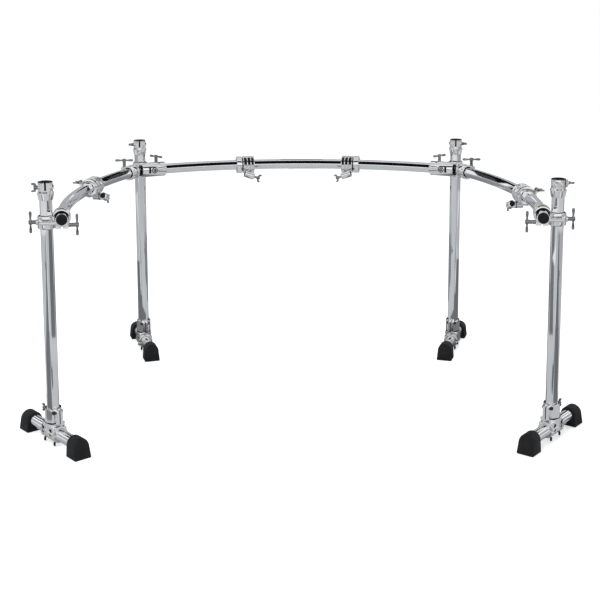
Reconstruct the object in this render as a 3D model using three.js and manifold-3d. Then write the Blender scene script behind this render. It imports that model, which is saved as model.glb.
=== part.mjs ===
// A curved drum rack: three bent pipes on four height-adjustable legs with T feet,
// joined by cast clamps, with a stand holder on each post and four sliding accessory clamps.
// Millimetres, +Z up, floor at zero, the open side of the horseshoe towards -Y.
import * as THREE from "three";
import { mergeVertices } from "three/addons/utils/BufferGeometryUtils.js";
import Module from "manifold-3d";

const wasm = await Module();
wasm.setup();

// Pipes: rounded hexagons, measured across the flats
const postAcross = 37;
const postCornerRadius = 8;
const postWall = 2.2;
const barAcross = 35;
const barCornerRadius = 9;
const barWall = 2.2;

// Clearances: pieces that slide, and pieces that rest on each other
const slideGap = 0.4;
const seatGap = 0.3;

// Plan of the rack: the left half, mirrored for the right, with a small lean of each wing
const barHeight = 693;
const rearBarRadius = 1180;
const sideBarRadius = 1450;
const rearPostHalfSpacing = 588;
const postBarGap = 8;
const sideBarLength = 898;
const sideBarEndHeading = 23.8;
const leftWingSwing = -0.8;
const rightWingSwing = 1.2;
const leftClampInset = 46;
const rightClampInset = 68;

// Legs: the turns are azimuths of the inner foot and of the holder's slit
const rackHeight = 800;
const frontFootTurn = 30;
const rearFootTurn = 17.7;
const leftFrontHolderTurn = 11;
const rightFrontHolderTurn = -46;
const rearHolderTurn = 8;

// T foot
const footTubeRadius = 18.7;
const footTubeWall = 2;
const footTubeHeight = 36;
const footTubeLength = 304;
const footTubeInFoot = 34;
const footLength = 55;
const footBaseWidth = 55;
const footWall = 6.3;
const footEdgeRadius = 3;
const footEndSlope = 11;

// Leg clamp: a socket for the post over a saddle for the foot's tube
const postSeatFloor = 8;
const legClampGrip = 50;
const legClampWall = 5.9;
const saddleWall = 6.8;
const saddleLength = 80;
const seamRise = 12;
const clampSlit = 2.5;
const legLugThickness = 9;
const legLugReach = 15;
const legLugHeight = 44;
const legWingReach = 24;

// Stand holder: a skirt over the post's top end and a split cup above it
const holderHeight = 55;
const holderCupHeight = 29;
const holderCupRadius = 22;
const holderSkirtWall = 4.6;
const holderSkirtTaper = 3.5;
const holderSeatRoof = 5;
const holderBoreRadius = 11.5;
const holderFloor = 2;
const holderSlitWidth = 5;
const holderSlitHeight = 25;
const holderKeyholeRadius = 3.4;
const holderBossRadius = 7;
const holderBossForward = 18;
const holderBossHalfSpan = 21;
const holderBoltDrop = 14;
const holderNutHeight = 3;

// Handles
const teeShaftRadius = 5.8;
const threadRadius = 4;
const teeBarLength = 66;
const teeBarRadius = 3.2;
const teeKnobRadius = 5;
const teeKnobLength = 16;
const wingHubRadius = 6;
const wingHubLength = 12;
const wingSpan = 30;
const wingThickness = 4;
const wingDepth = 15;

// Ring clamps round the bars and bands round the posts
const ringWall = 7.7;
const castRound = 3;
const frontRingLength = 46;
const sideRingLength = 36;
const endWall = 8;
const sleeveEndWall = 4.7;
const sleeveLength = 92;
const ringSlit = 4;
const lugWidth = 22;
const lugMargin = 9;
const lugBoltWall = 2.5;
const boltClearance = 0.5;
const bandWall = 6.4;
const frontBandHeight = 39;
const frontBandDrop = 13;
const rearBandHeight = 50;
const bandBossRadius = 9;
const bandBossReach = 4;
const bandTeeReach = 46;
const ringTeeReach = 44;
const rearTeeRise = 44;
const sleeveBoltAlong = 55;
const sleeveTeeTurn = 49;
const jawPinRadius = 5.5;
const jawPinLength = 38;
const jawPinTurn = 45;

// Wing hinges
const hingeBeyondPost = 27;
const knuckleClearance = 3;
const barrelRadius = 11;
const hingePinRadius = 4.5;
const barrelHeight = 52;
const knuckleHeight = 13;
const armThickness = 15;
const armLength = 19;

// Accessory clamps
const leftAccessoryStation = 333;
const rightAccessoryStation = 508;
const rearAccessoryHalfSpacing = 201;
const jawLength = 42;
const collarLength = 20;
const grooveLength = 4;
const jawWall = 13.4;
const collarWall = 12.4;
const grooveWall = 5.7;
const jawWindowWidth = 9;
const jawWindowDepth = 7;
const jawRibWidth = 4;
const jawLugReach = 8.5;
const jawLugHalf = 11;
const swivelRadius = 11;
const swivelForward = 24;
const swivelBelow = 2.5;
const swivelDisc = 5;
const receiverRadius = 12.5;
const receiverLength = 38;
const receiverBoreRadius = 6.4;
const receiverBoreInset = 13;
const receiverTilt = 20;
const receiverShank = 10;

// End plugs
const plugDepth = 16;
const plugLip = 3;
const plugGap = 0.6;

// Cuts run past the faces that they cut by this much
const overrun = 5;

// Facets
const roundSteps = 12;
const mediumSteps = 8;
const smallSteps = 6;
const barSteps = 12;

// Sizes that follow from those above
const quarter = Math.PI / 2;
const rad = THREE.MathUtils.degToRad;
const cornerReach = (across, radius) => (across / 2 - radius) / Math.cos(Math.PI / 6) + radius;
const postReach = cornerReach(postAcross, postCornerRadius);
const barReach = cornerReach(barAcross, barCornerRadius);
const postToBar = (postAcross + barAcross) / 2 + postBarGap;
const ringRadius = barReach + ringWall;
const bandRadius = postReach + bandWall;
const legClampRadius = postReach + legClampWall;
const postBottom = footTubeHeight + footTubeRadius + postSeatFloor;
const legClampTop = postBottom + legClampGrip;
const holderBase = rackHeight - holderHeight;
const skirtHeight = holderHeight - holderCupHeight;
const sleeveStart = hingeBeyondPost - barrelRadius - knuckleClearance;
const rearBarBeyondPost = sleeveStart - sleeveEndWall - seatGap;
const ringToHinge = sideRingLength / 2 + endWall + armLength + barrelRadius / 2;
const boreRadius = (radius, steps) => (radius + slideGap) / Math.cos(Math.PI / steps);
const threadHole = boreRadius(threadRadius, smallSteps);
const lugBoltReach = barAcross / 2 + threadHole + lugBoltWall;
const lugEnd = lugBoltReach + lugMargin;
const lugHalf = Math.sqrt(ringRadius ** 2 - (lugBoltReach - teeShaftRadius) ** 2) + boltClearance;
const lugThread = 2 * lugHalf + seatGap;
const cornerAngle = Math.asin(rearPostHalfSpacing / (rearBarRadius + postToBar));
const rearBarAngle = cornerAngle + rearBarBeyondPost / rearBarRadius;
const rearBarLength = 2 * rearBarRadius * rearBarAngle;

const metal = (color, roughness) => new THREE.MeshStandardMaterial({ color, roughness, metalness: 1 });
const chromePipe = metal(0xd9dde2, 0.08);
const chromeCast = metal(0xd2d3d4, 0.16);
const chromeHandle = metal(0xc6c8cb, 0.12);
const blackRubber = new THREE.MeshStandardMaterial({ color: 0x1c1d20, roughness: 0.75, metalness: 0 });
const blackPlastic = new THREE.MeshStandardMaterial({ color: 0x161719, roughness: 0.5, metalness: 0 });

// Joins and cuts
function solidOf(geometry) {
  const bare = new THREE.BufferGeometry();
  bare.setAttribute("position", geometry.getAttribute("position"));
  bare.setIndex(geometry.getIndex());
  const merged = mergeVertices(bare);
  const corners = merged.getIndex().array;
  const kept = [];
  for (let i = 0; i < corners.length; i += 3) {
    const [a, b, c] = [corners[i], corners[i + 1], corners[i + 2]];
    if (a !== b && b !== c && c !== a) kept.push(a, b, c);
  }
  const vertProperties = new Float32Array(merged.getAttribute("position").array);
  const triVerts = new Uint32Array(kept);
  return new wasm.Manifold(new wasm.Mesh({ numProp: 3, vertProperties, triVerts }));
}

function geometryOf(solid) {
  const made = solid.getMesh();
  const points = new Float32Array(made.numVert * 3);
  for (let i = 0; i < made.numVert; i++) {
    const start = i * made.numProp;
    points.set(made.vertProperties.subarray(start, start + 3), i * 3);
  }
  const geometry = new THREE.BufferGeometry();
  geometry.setAttribute("position", new THREE.BufferAttribute(points, 3));
  geometry.setIndex(new THREE.BufferAttribute(new Uint32Array(made.triVerts), 1));
  return geometry;
}

const join = (first, ...rest) => geometryOf(rest.reduce((all, g) => all.add(solidOf(g)), solidOf(first)));
const cut = (body, ...tools) => geometryOf(tools.reduce((left, g) => left.subtract(solidOf(g)), solidOf(body)));

// A cylinder between two heights on Z, and the same laid along X or Y
const upright = (radius, from, to, steps = roundSteps) =>
  new THREE.CylinderGeometry(radius, radius, to - from, steps)
    .rotateX(quarter)
    .translate(0, 0, (from + to) / 2);
const alongX = (radius, from, to, steps) => upright(radius, from, to, steps).rotateY(quarter);
const alongY = (radius, from, to, steps) => upright(radius, from, to, steps).rotateX(-quarter);

// A block between two corners
const block = ([x1, y1, z1], [x2, y2, z2]) =>
  new THREE.BoxGeometry(x2 - x1, y2 - y1, z2 - z1).translate((x1 + x2) / 2, (y1 + y2) / 2, (z1 + z2) / 2);

// A turned form about Z, from its profile of radius and height
function turned(profile, steps = roundSteps) {
  const points = profile.map(([radius, height]) => new THREE.Vector2(radius, height));
  return new THREE.LatheGeometry(points, steps).rotateX(quarter);
}

// A cylinder on Z with eased ends
function eased(radius, from, to, ease = castRound, steps = roundSteps) {
  const profile = [
    [0, from],
    [radius - ease, from],
    [radius, from + ease],
    [radius, to - ease],
    [radius - ease, to],
    [0, to],
  ];
  return turned(profile, steps);
}

// A hexagon with its corners eased to a flat; its sides are square to X when the turn is zero
function hexagon(across, cornerRadius, turn = 0) {
  const reach = (across / 2 - cornerRadius) / Math.cos(Math.PI / 6);
  const points = [];
  for (let corner = 0; corner < 6; corner++) {
    const middle = Math.PI / 6 + (corner * Math.PI) / 3 + turn;
    for (const angle of [middle - Math.PI / 6, middle + Math.PI / 6]) {
      const x = reach * Math.cos(middle) + cornerRadius * Math.cos(angle);
      const y = reach * Math.sin(middle) + cornerRadius * Math.sin(angle);
      points.push(new THREE.Vector2(x, y));
    }
  }
  return points;
}

// A pipe's section, with its bore
function pipeSection(across, cornerRadius, wall, turn = 0) {
  const section = new THREE.Shape(hexagon(across, cornerRadius, turn));
  section.holes.push(new THREE.Path(hexagon(across - 2 * wall, cornerRadius - wall, turn)));
  return section;
}

// The post's outline, with room round it, between two heights
function postBore(gap, from, to) {
  const outline = new THREE.Shape(hexagon(postAcross + 2 * gap, postCornerRadius + gap));
  return new THREE.ExtrudeGeometry(outline, { depth: to - from, bevelEnabled: false }).translate(0, 0, from);
}

// A bar's centre line between two lengths along it: it passes zero along +X and turns towards +Y
class BarLine extends THREE.Curve {
  constructor(radius, from, to) {
    super();
    this.radius = radius;
    this.from = from;
    this.to = to;
  }
  getPoint(share, target = new THREE.Vector3()) {
    const angle = (this.from + share * (this.to - this.from)) / this.radius;
    return target.set(this.radius * Math.sin(angle), this.radius * (1 - Math.cos(angle)), 0);
  }
}

// The bars stand on a corner of their hexagon, so the section is turned by half a side
const barTurn = Math.PI / 6;

function makeBar(radius, length) {
  return new THREE.ExtrudeGeometry(pipeSection(barAcross, barCornerRadius, barWall, barTurn), {
    steps: barSteps,
    bevelEnabled: false,
    extrudePath: new BarLine(radius, 0, length),
  });
}

// A place on a bar, a length along it: X back along the bar, Y to the outside of the rack
function station(radius, along) {
  const frame = new THREE.Group();
  frame.position.copy(new BarLine(radius, 0, along).getPoint(1));
  frame.rotation.z = along / radius + Math.PI;
  return frame;
}

// The bar's outline in a station's frame, with room round it
function barBore(gap, radius, from, to) {
  const outline = hexagon(barAcross + 2 * gap, barCornerRadius + gap, barTurn);
  return new THREE.ExtrudeGeometry(new THREE.Shape(outline), {
    steps: Math.ceil((to - from) / barAcross),
    bevelEnabled: false,
    extrudePath: new BarLine(radius, -to, -from),
  }).rotateZ(Math.PI);
}

// A bar is straight between its steps, so a bore round it has this much more room
const slideRoom = (radius, length) => slideGap + (length / barSteps) ** 2 / (8 * radius);
const rearRoom = slideRoom(rearBarRadius, rearBarLength);
const sideRoom = slideRoom(sideBarRadius, sideBarLength);

// A form drawn at a station moved to another length along the same bar
function moveAlong(geometry, radius, along) {
  const angle = along / radius;
  return geometry.rotateZ(-angle).translate(radius * Math.sin(angle), radius * (Math.cos(angle) - 1), 0);
}

// A T bolt on +Z from its thread's tip; the cross bar lies along Y at the given height
function makeTeeBolt(threadLength, barHeightOnBolt) {
  const half = teeBarLength / 2;
  const neck = half - teeKnobLength;
  const ease = teeKnobRadius / 3;
  const profile = [
    [0, neck],
    [teeKnobRadius, neck],
    [teeKnobRadius, half - ease],
    [teeKnobRadius - ease, half],
    [0, half],
  ];
  const knob = turned(profile, smallSteps);
  const cross = [upright(teeBarRadius, -neck, neck, smallSteps), knob, knob.clone().rotateX(Math.PI)];
  return join(
    upright(threadRadius, 0, threadLength + seatGap, smallSteps),
    upright(teeShaftRadius, threadLength, barHeightOnBolt + teeShaftRadius, smallSteps),
    ...cross.map((piece) => piece.rotateX(quarter).translate(0, 0, barHeightOnBolt)),
  );
}

// A wing bolt on +Z from its thread's tip; the wings reach along X
function makeWingBolt(threadLength, shank = 0) {
  const seat = threadLength + shank;
  const tip = wingSpan / 2;
  const wing = [
    [wingHubRadius, 0],
    [tip, wingDepth / 2],
    [tip, wingDepth - wingThickness / 2],
    [tip - wingThickness, wingDepth],
    [wingHubRadius, wingHubLength / 2],
  ];
  const mirrored = wing.map(([x, y]) => [-x, y]).reverse();
  const outline = new THREE.Shape([...wing, ...mirrored].map(([x, y]) => new THREE.Vector2(x, y)));
  const wings = new THREE.ExtrudeGeometry(outline, { depth: wingThickness, bevelEnabled: false })
    .translate(0, 0, -wingThickness / 2)
    .rotateX(quarter)
    .translate(0, 0, seat + wingHubLength / 3);
  const hub = upright(wingHubRadius, seat, seat + wingHubLength, smallSteps);
  return join(upright(threadRadius, 0, seat + seatGap, smallSteps), hub, wings);
}

// Leg pieces, about the post's axis with the floor at zero and the inner foot towards +X
function makePost() {
  const top = holderBase + skirtHeight - holderSeatRoof - seatGap;
  const section = pipeSection(postAcross, postCornerRadius, postWall);
  const depth = top - postBottom;
  return new THREE.ExtrudeGeometry(section, { depth, bevelEnabled: false }).translate(0, 0, postBottom);
}

function makeFootTube() {
  const half = footTubeLength / 2;
  const inner = footTubeRadius - footTubeWall;
  const profile = [
    [inner, -half],
    [footTubeRadius, -half],
    [footTubeRadius, half],
    [inner, half],
    [inner, -half],
  ];
  return turned(profile).rotateY(quarter).translate(0, 0, footTubeHeight);
}

// A rubber foot on the tube's +X end: a domed outline drawn out along the tube, the outer face leaning in
function makeFoot() {
  const half = footBaseWidth / 2 - footEdgeRadius;
  const dome = footTubeRadius + footWall - footEdgeRadius;
  const rise = footTubeHeight - footEdgeRadius;
  const flank = Math.atan2(rise, half) - Math.acos(dome / Math.hypot(half, rise));
  const outline = new THREE.Shape();
  outline.moveTo(-half, 0);
  outline.lineTo(half, 0);
  outline.absarc(0, rise, dome, -flank, Math.PI + flank, false);
  outline.closePath();
  const form = new THREE.ExtrudeGeometry(outline, {
    depth: footLength - 2 * footEdgeRadius,
    bevelSize: footEdgeRadius,
    bevelThickness: footEdgeRadius,
    bevelSegments: 1,
    curveSegments: 5,
  })
    .rotateX(quarter)
    .rotateZ(quarter)
    .translate(footEdgeRadius, 0, footEdgeRadius);
  const tall = 2 * (footTubeHeight + dome);
  const lean = block([0, -footBaseWidth, -tall], [footLength, footBaseWidth, tall])
    .rotateY(-rad(footEndSlope))
    .translate(footLength, 0, 0);
  const pocketEnd = footTubeInFoot + seatGap;
  const pocket = alongX(footTubeRadius + seatGap, -overrun, pocketEnd).translate(0, 0, footTubeHeight);
  return cut(form, lean, pocket).translate(footTubeLength / 2 - footTubeInFoot, 0, 0);
}

// The casting that grips the post and holds the foot's tube, its hand screw fixed at the outer side
function makeLegClamp() {
  const seam = footTubeHeight + footTubeRadius + seamRise;
  const sleeve = turned([
    [0, footTubeHeight],
    [legClampRadius, footTubeHeight],
    [legClampRadius, seam - clampSlit],
    [legClampRadius - clampSlit, seam - clampSlit],
    [legClampRadius - clampSlit, seam],
    [legClampRadius, seam],
    [legClampRadius, legClampTop - castRound],
    [legClampRadius - castRound, legClampTop],
    [0, legClampTop],
  ]);
  const saddleRadius = footTubeRadius + saddleWall;
  const saddle = eased(saddleRadius, -saddleLength / 2, saddleLength / 2)
    .rotateY(quarter)
    .translate(0, 0, footTubeHeight);
  const lugEnd = legClampRadius + legLugReach;
  const lugTop = legClampTop - castRound;
  const lugSide = legLugThickness + clampSlit / 2;
  const lugs = block([0, -lugSide, lugTop - legLugHeight], [lugEnd, lugSide, lugTop]);
  const handScrew = makeWingBolt(legClampRadius, legWingReach)
    .rotateY(-quarter)
    .translate(0, 0, lugTop - legLugHeight / 3);
  return cut(
    join(sleeve, saddle, lugs, handScrew),
    block([0, -clampSlit / 2, postBottom], [lugEnd + overrun, clampSlit / 2, legClampTop + overrun]),
    alongX(footTubeRadius + slideGap, -saddleLength, saddleLength).translate(0, 0, footTubeHeight),
    postBore(seatGap, postBottom - seatGap, legClampTop + overrun),
  );
}

// The holder's seat is turned against its slit, to fit the post under it
function makeHolder(postTurn) {
  const skirtTop = postReach + holderSkirtWall;
  const body = turned([
    [0, 0],
    [skirtTop - holderSkirtTaper, 0],
    [skirtTop, skirtHeight - 2 * castRound],
    [skirtTop, skirtHeight - castRound],
    [holderCupRadius, skirtHeight],
    [holderCupRadius, holderHeight - castRound / 2],
    [holderCupRadius - castRound / 2, holderHeight],
    [0, holderHeight],
  ]);
  const span = holderBossHalfSpan;
  const boss = alongY(holderBossRadius, -span, span + holderNutHeight, smallSteps);
  const bolted = boss.translate(holderBossForward, 0, holderHeight - holderBoltDrop);
  const boltHole = alongY(threadHole, -span - overrun, span + seatGap, smallSteps);
  const reach = skirtTop + overrun;
  const slitFoot = holderHeight - holderSlitHeight;
  return cut(
    join(body, bolted),
    upright(holderBoreRadius, skirtHeight + holderFloor, holderHeight + overrun),
    block([0, -holderSlitWidth / 2, slitFoot], [reach, holderSlitWidth / 2, holderHeight + overrun]),
    alongX(holderKeyholeRadius, 0, reach, smallSteps).translate(0, 0, slitFoot),
    boltHole.translate(holderBossForward, 0, holderHeight - holderBoltDrop),
    postBore(seatGap, -overrun, skirtHeight - holderSeatRoof).rotateZ(postTurn),
  );
}

// Two lugs on a ring's outer side, either side of its slit, about the bolt through them
const makeLugs = () => block([-lugWidth / 2, 0, -lugHalf], [lugWidth / 2, lugEnd, lugHalf]);
const lugSlit = (from, to) => block([from, 0, -ringSlit / 2], [to, lugEnd + overrun, ringSlit / 2]);
const lugBoltHole = (foot = -lugHalf - overrun) =>
  upright(threadHole, foot, lugHalf + overrun, smallSteps).translate(0, lugBoltReach, 0);

// The post's way through a band beside a bar
const bandBore = (turn, from, to) =>
  postBore(slideGap, from - overrun, to + overrun).rotateZ(turn).translate(0, postToBar, 0);

// Front clamp: a ring round the side bar and a band round the post, each with a T bolt
const bandFace = postToBar + bandRadius + bandBossReach;
const bandStart = postToBar + postAcross / 2 + seatGap;

function makeFrontClamp() {
  const half = frontRingLength / 2;
  const bandTop = frontBandHeight / 2 - frontBandDrop;
  const bandFoot = bandTop - frontBandHeight;
  const jawPin = alongX(jawPinRadius, -jawPinLength / 2, jawPinLength / 2, smallSteps);
  const body = join(
    eased(ringRadius, -half, half).rotateY(quarter),
    eased(bandRadius, bandFoot, bandTop).translate(0, postToBar, 0),
    alongY(bandBossRadius, postToBar, bandFace, mediumSteps).translate(0, 0, -frontBandDrop),
    makeLugs().rotateX(-quarter),
    jawPin.translate(0, 0, ringRadius).rotateX(rad(jawPinTurn)),
  );
  return cut(
    body,
    barBore(sideRoom, sideBarRadius, -half - overrun, half + overrun),
    bandBore(rad(frontFootTurn), bandFoot, bandTop),
    lugSlit(-half - overrun, half + overrun).rotateX(-quarter),
    lugBoltHole(-lugHalf - seatGap).rotateX(quarter).rotateY(Math.PI),
    alongY(threadHole, postToBar, bandFace + overrun, smallSteps).translate(0, 0, -frontBandDrop),
  );
}

// Rear corner: a sleeve on the rear bar's end, a band round the rear post and two hinge knuckles
const knuckleTop = barrelHeight / 2;
const knuckleFoot = knuckleTop - knuckleHeight;
const rearPostTurn = rad(rearFootTurn) - quarter - cornerAngle;

function makeCornerClamp() {
  const bandTop = rearBandHeight / 2;
  const pinEnd = knuckleTop + castRound / 2;
  const sleeveHalf = sleeveLength / 2;
  const sleeve = eased(ringRadius, -sleeveHalf, sleeveHalf).rotateY(quarter);
  const webEnd = castRound - sleeveStart;
  const knuckles = [-knuckleTop, knuckleFoot].flatMap((foot) => [
    upright(barrelRadius, foot, foot + knuckleHeight).translate(-hingeBeyondPost, 0, 0),
    block(
      [-hingeBeyondPost, -armThickness / 2, foot],
      [webEnd, armThickness / 2, foot + knuckleHeight],
    ),
  ]);
  const body = join(
    moveAlong(sleeve, rearBarRadius, sleeveHalf - sleeveStart),
    eased(bandRadius, -bandTop, bandTop).translate(0, postToBar, 0),
    moveAlong(makeLugs(), rearBarRadius, sleeveBoltAlong),
    ...knuckles,
    upright(hingePinRadius, -pinEnd, pinEnd, mediumSteps).translate(-hingeBeyondPost, 0, 0),
  );
  return cut(
    body,
    barBore(rearRoom, rearBarRadius, -rearBarBeyondPost - seatGap, sleeveLength + overrun),
    bandBore(rearPostTurn, -bandTop, bandTop),
    moveAlong(lugSlit(-lugWidth / 2, sleeveLength), rearBarRadius, sleeveBoltAlong),
    moveAlong(lugBoltHole(), rearBarRadius, sleeveBoltAlong),
  );
}

// Side clamp: a ring on the side bar's rear end, its closed end carrying the hinge's middle knuckle
function makeSideClamp() {
  const half = sideRingLength / 2;
  const middle = knuckleFoot - seatGap;
  const body = join(
    eased(ringRadius, -half, half + endWall).rotateY(quarter),
    makeLugs(),
    block([half, -armThickness / 2, -middle], [ringToHinge, armThickness / 2, middle]),
    upright(barrelRadius, -middle, middle).translate(ringToHinge, 0, 0),
  );
  return cut(
    body,
    barBore(sideRoom, sideBarRadius, -half - overrun, half + seatGap),
    upright(boreRadius(hingePinRadius, mediumSteps), -knuckleTop, knuckleTop, mediumSteps).translate(
      ringToHinge,
      0,
      0,
    ),
    lugSlit(-half - overrun, half),
    lugBoltHole(),
  );
}

// Accessory clamp: a collar and a ribbed jaw round the bar, over a swivel boss on the inner side
const jawRadius = barReach + jawWall;
const swivelDrop = jawRadius + swivelBelow;
const clampHalf = (jawLength + grooveLength + collarLength) / 2;
const jawMiddle = clampHalf - jawLength / 2;

function makeAccessoryClamp(radius, room) {
  const collarRadius = barReach + collarWall;
  const grooveRadius = barReach + grooveWall;
  const collarEnd = collarLength - clampHalf;
  const jawStart = collarEnd + grooveLength;
  const ease = castRound / 2;
  const form = turned([
    [0, -clampHalf],
    [collarRadius - ease, -clampHalf],
    [collarRadius, ease - clampHalf],
    [collarRadius, collarEnd],
    [grooveRadius, collarEnd],
    [grooveRadius, jawStart],
    [jawRadius, jawStart],
    [jawRadius, clampHalf - ease],
    [jawRadius - ease, clampHalf],
    [0, clampHalf],
  ]).rotateY(quarter);
  const lugs = block([jawStart, 0, -jawLugHalf], [clampHalf - ease, jawRadius + jawLugReach, jawLugHalf]);
  const boss = alongY(swivelRadius, -swivelForward, 0, mediumSteps).translate(jawMiddle, 0, -swivelDrop);
  const half = jawWindowWidth / 2;
  const windows = [-1, 0, 1].map((place) =>
    block([-half, -jawRadius - overrun, -jawWindowWidth], [half, jawWindowDepth - jawRadius, jawWindowWidth])
      .rotateX(-quarter / 2)
      .translate(jawMiddle + place * (jawWindowWidth + jawRibWidth), 0, 0),
  );
  const end = clampHalf + overrun;
  return cut(
    join(form, boss, lugs),
    barBore(room, radius, -end, end),
    block([-end, 0, -ringSlit / 2], [end, jawRadius + jawLugReach + overrun, ringSlit / 2]),
    ...windows,
  );
}

// The receiver turns on the swivel boss: made with the swivel's axis on Z, its barrel along X
const receiverRise = swivelDisc + receiverRadius - castRound / 2;
const receiverBoreAlong = receiverLength / 2 - receiverBoreInset;

function makeReceiver() {
  const half = receiverLength / 2;
  const barrel = eased(receiverRadius, -half, half, castRound / 2).rotateY(quarter);
  const body = join(
    barrel.translate(0, 0, receiverRise),
    upright(swivelRadius, 0, receiverRise, mediumSteps),
  );
  const end = receiverRise + receiverRadius + overrun;
  const screwHole = alongX(threadHole, receiverBoreAlong, half + overrun, smallSteps);
  return cut(
    body,
    upright(receiverBoreRadius, -overrun, end, mediumSteps).translate(receiverBoreAlong, 0, 0),
    screwHole.translate(0, 0, receiverRise),
  );
}

// A black cap in a pipe's end, its lip on the bar's outline, facing -X
const makePlug = () =>
  join(
    barBore(-barWall - plugGap, sideBarRadius, -plugLip / 2, plugDepth),
    barBore(0, sideBarRadius, -plugLip, -seatGap),
  );

function named(name, geometry, material) {
  const mesh = new THREE.Mesh(geometry, material);
  mesh.name = name;
  return mesh;
}

function frameAt(x, y, z, turn = 0) {
  const frame = new THREE.Group();
  frame.position.set(x, y, z);
  frame.rotation.z = turn;
  return frame;
}

// A bolt with its thread's tip at a place, tipped about X so that it leaves the casting
function boltAt(mesh, place, tip, turn = 0) {
  mesh.position.set(...place);
  mesh.rotation.set(tip, 0, turn);
  return mesh;
}

const leg = {
  post: makePost(),
  tube: makeFootTube(),
  innerFoot: makeFoot(),
  outerFoot: makeFoot().rotateZ(Math.PI),
  clamp: makeLegClamp(),
  bolt: makeWingBolt(2 * holderBossHalfSpan + seatGap),
};

// A leg beside a bar; the holder's turn is measured from the foot's
function addLeg(parent, place, footTurn, holderTurn) {
  const frame = frameAt(0, postToBar, -barHeight, footTurn);
  frame.add(named(place + "_post", leg.post, chromePipe));
  frame.add(named(place + "_foot_tube", leg.tube, chromePipe));
  frame.add(named(place + "_inner_foot", leg.innerFoot, blackRubber));
  frame.add(named(place + "_outer_foot", leg.outerFoot, blackRubber));
  frame.add(named(place + "_leg_clamp", leg.clamp, chromeCast));
  const top = frameAt(0, 0, holderBase, holderTurn);
  top.add(named(place + "_stand_holder", makeHolder(-holderTurn), chromeCast));
  const boltPlace = [holderBossForward, holderBossHalfSpan, holderHeight - holderBoltDrop];
  top.add(boltAt(named(place + "_holder_bolt", leg.bolt, chromeHandle), boltPlace, quarter));
  frame.add(top);
  parent.add(frame);
}

const receiver = makeReceiver();
const receiverThread = receiverLength / 2 - receiverBoreAlong - receiverBoreRadius + seatGap;
const receiverBolt = makeWingBolt(receiverThread, receiverShank).rotateZ(quarter);

// An accessory clamp with its receiver hanging at a tilt and the receiver's wing bolt
function addAccessory(parent, place, geometry) {
  parent.add(named(place + "_clamp", geometry, chromeCast));
  const swivel = frameAt(jawMiddle, -swivelForward - seatGap, -swivelDrop);
  swivel.rotation.x = quarter;
  const head = frameAt(0, 0, 0, -rad(receiverTilt));
  head.add(named(place + "_receiver", receiver, chromeCast));
  const bolt = named(place + "_wing_bolt", receiverBolt, chromeHandle);
  bolt.position.set(receiverBoreAlong + receiverBoreRadius, 0, receiverRise);
  bolt.rotation.y = quarter;
  head.add(bolt);
  swivel.add(head);
  parent.add(swivel);
}

const rearAccessory = makeAccessoryClamp(rearBarRadius, rearRoom);
const sideAccessory = makeAccessoryClamp(sideBarRadius, sideRoom);
const lugBolt = makeTeeBolt(lugThread, lugHalf + rearTeeRise);
const ringBolt = makeTeeBolt(lugThread, lugHalf + ringTeeReach);
const bandThread = bandFace + seatGap - bandStart;
const bandBolt = makeTeeBolt(bandThread, postToBar + bandTeeReach - bandStart);
const frontClamp = makeFrontClamp();
const sideClamp = makeSideClamp();
const cornerClamp = makeCornerClamp();
const sideBar = makeBar(sideBarRadius, sideBarLength);
const plug = makePlug();

// A wing, about its hinge: side clamp, side bar, front clamp and front leg
function makeWing(side, swing, clampInset, accessoryStation, holderTurn) {
  const bar = new THREE.Group();
  bar.rotation.z = -quarter - rad(sideBarEndHeading);
  const ring = station(sideBarRadius, sideRingLength / 2);
  const hinge = new THREE.Vector3(ringToHinge, 0, 0).applyEuler(ring.rotation).add(ring.position);
  bar.position.copy(hinge.applyEuler(bar.rotation).negate());
  bar.add(named(side + "_bar", sideBar, chromePipe));

  ring.add(named(side + "_side_clamp", sideClamp, chromeCast));
  const ringBoltMesh = named(side + "_side_clamp_bolt", lugBolt, chromeHandle);
  ring.add(boltAt(ringBoltMesh, [0, lugBoltReach, -lugHalf], 0, rad(sideBarEndHeading)));

  const accessory = station(sideBarRadius, accessoryStation);
  addAccessory(accessory, side + "_side_accessory", sideAccessory);

  const clampAlong = sideBarLength - clampInset;
  const front = station(sideBarRadius, clampAlong);
  front.add(named(side + "_front_clamp", frontClamp, chromeCast));
  const ringMesh = named(side + "_front_ring_bolt", ringBolt, chromeHandle);
  front.add(boltAt(ringMesh, [0, lugHalf, -lugBoltReach], quarter));
  const bandMesh = named(side + "_front_band_bolt", bandBolt, chromeHandle);
  front.add(boltAt(bandMesh, [0, bandStart, -frontBandDrop], -quarter));

  const barAzimuth = clampAlong / sideBarRadius - rad(sideBarEndHeading + swing);
  const footTurn = rad(frontFootTurn);
  addLeg(front, side + "_front", footTurn + Math.PI, rad(holderTurn) - barAzimuth - footTurn);

  const end = station(sideBarRadius, sideBarLength);
  end.add(named(side + "_bar_plug", plug, blackPlastic));
  bar.add(ring, accessory, front, end);
  const wing = new THREE.Group();
  wing.name = side + "_wing";
  wing.rotation.z = -rad(swing);
  wing.add(bar);
  return wing;
}

// A place on the rear bar, to the left of its middle: X to the right along the bar, Y outwards
function rearPlace(angle) {
  const x = -rearBarRadius * Math.sin(angle);
  return frameAt(x, rearBarRadius * Math.cos(angle), 0, angle);
}

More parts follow.
